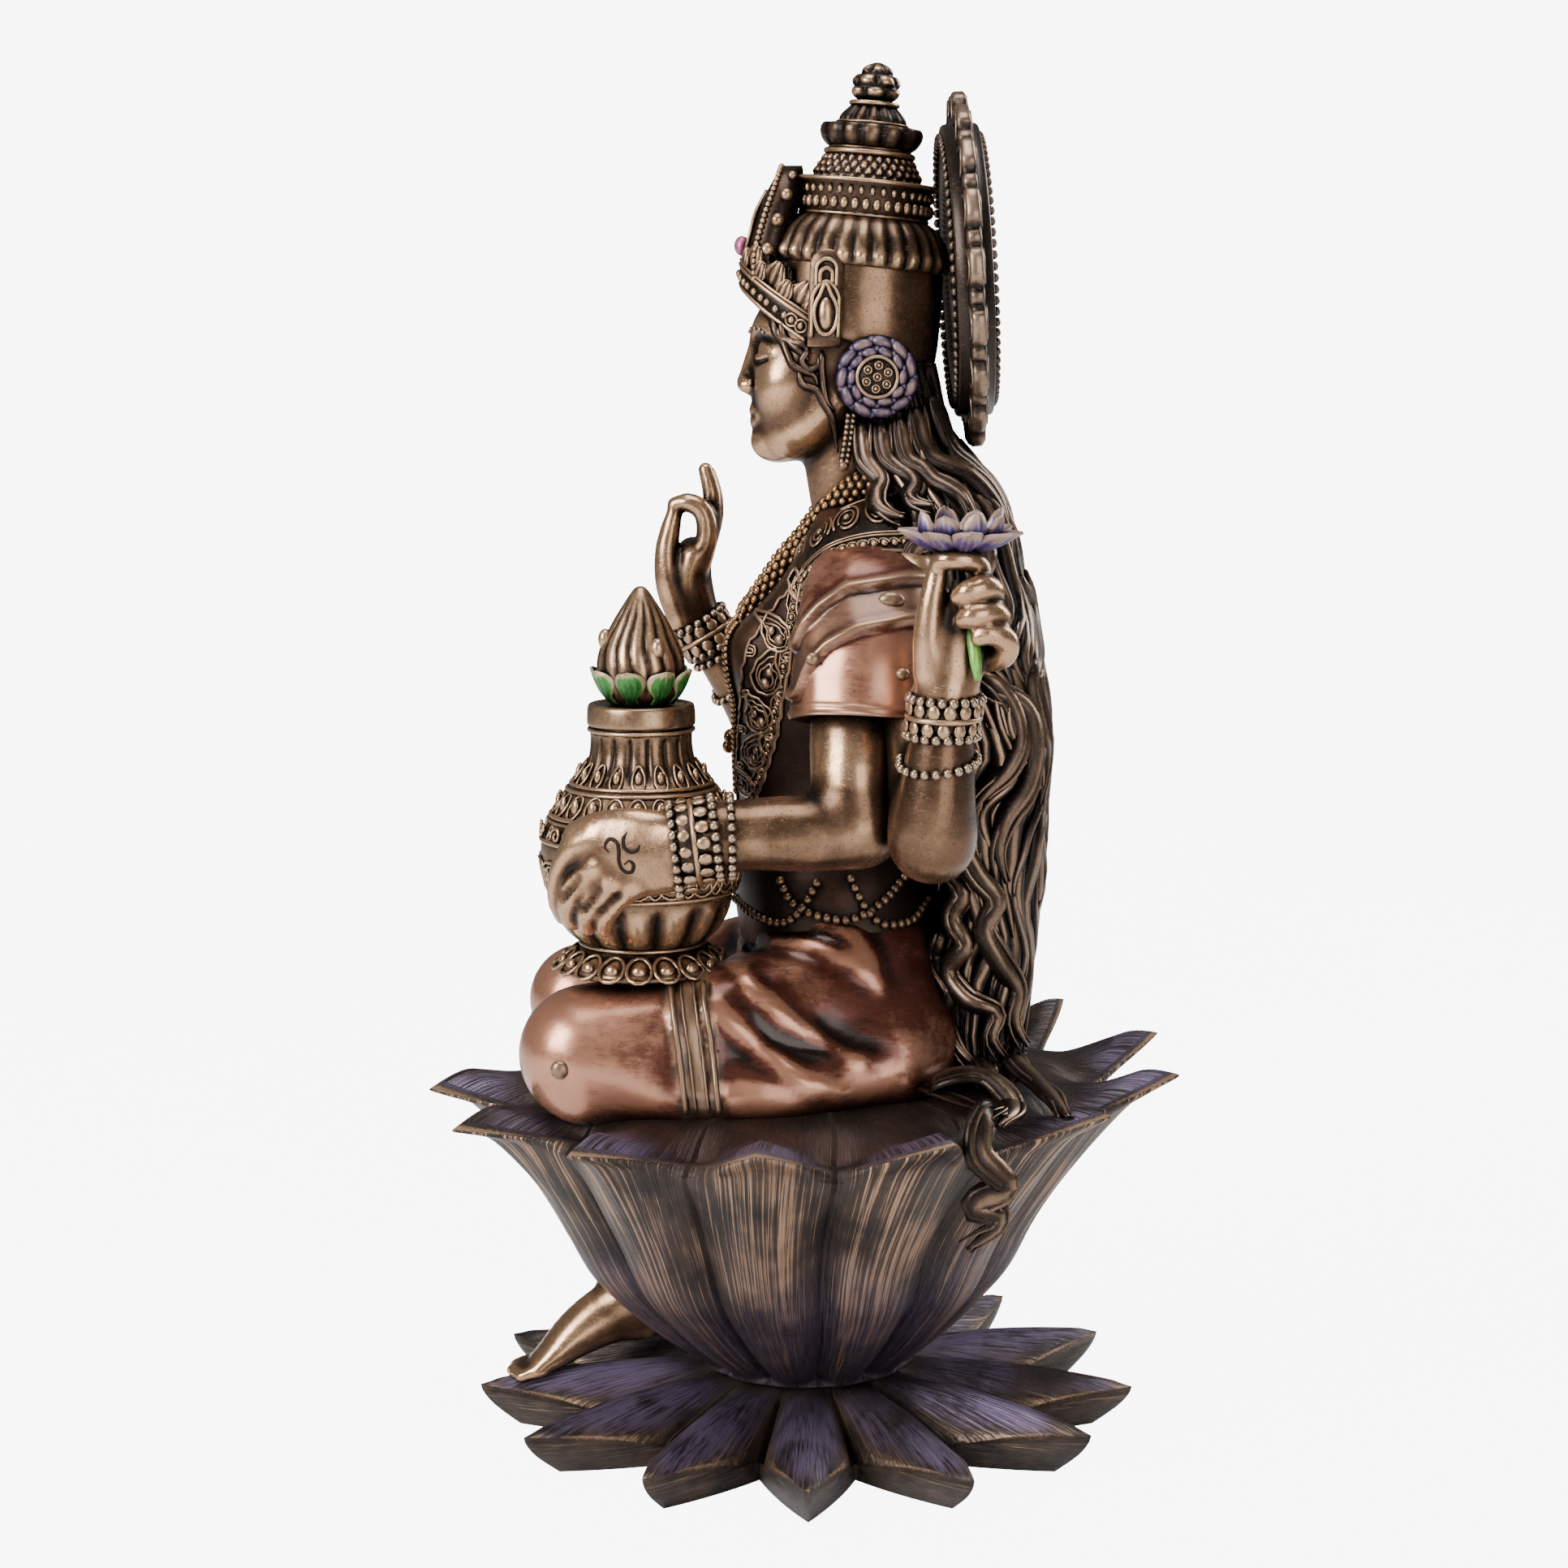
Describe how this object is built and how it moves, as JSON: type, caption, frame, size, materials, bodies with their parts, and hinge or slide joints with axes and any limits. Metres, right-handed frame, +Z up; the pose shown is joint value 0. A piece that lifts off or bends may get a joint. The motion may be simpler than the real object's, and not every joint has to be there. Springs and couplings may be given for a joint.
{
  "type": "seated goddess figure on a lotus",
  "caption": "Table figure of a four-armed goddess seated on a lotus with a water pot, lotus flowers and a halo, in antiqued cold-cast bronze.",
  "frame": {"origin": "middle of the flat underside of the base, on the axis of the lotus", "axes": "+Z up, the figure faces -Y, its left side is +X"},
  "size_m": [0.1549, 0.1548, 0.2797],
  "materials": {
    "base_petal_bronze": "dark antiqued bronze with purple tint on the petals' upper sides",
    "bowl_petal_bronze": "dark antiqued bronze, brushed ribs, purple tint",
    "figure_bronze": "antiqued bronze, brushed gold on the high places, copper red on the sari",
    "halo_bronze": "dark antiqued bronze",
    "pot_bronze": "antiqued bronze",
    "lotus_purple": "purple wash over bronze"
  },
  "bodies": {
    "root": {"base_petals": "base_petal_bronze", "lotus_bowl": "bowl_petal_bronze", "goddess": "figure_bronze", "halo": "halo_bronze", "water_pot": "pot_bronze", "left_hand_lotus": "lotus_purple", "right_hand_lotus": "lotus_purple"}
  },
  "joints": []
}
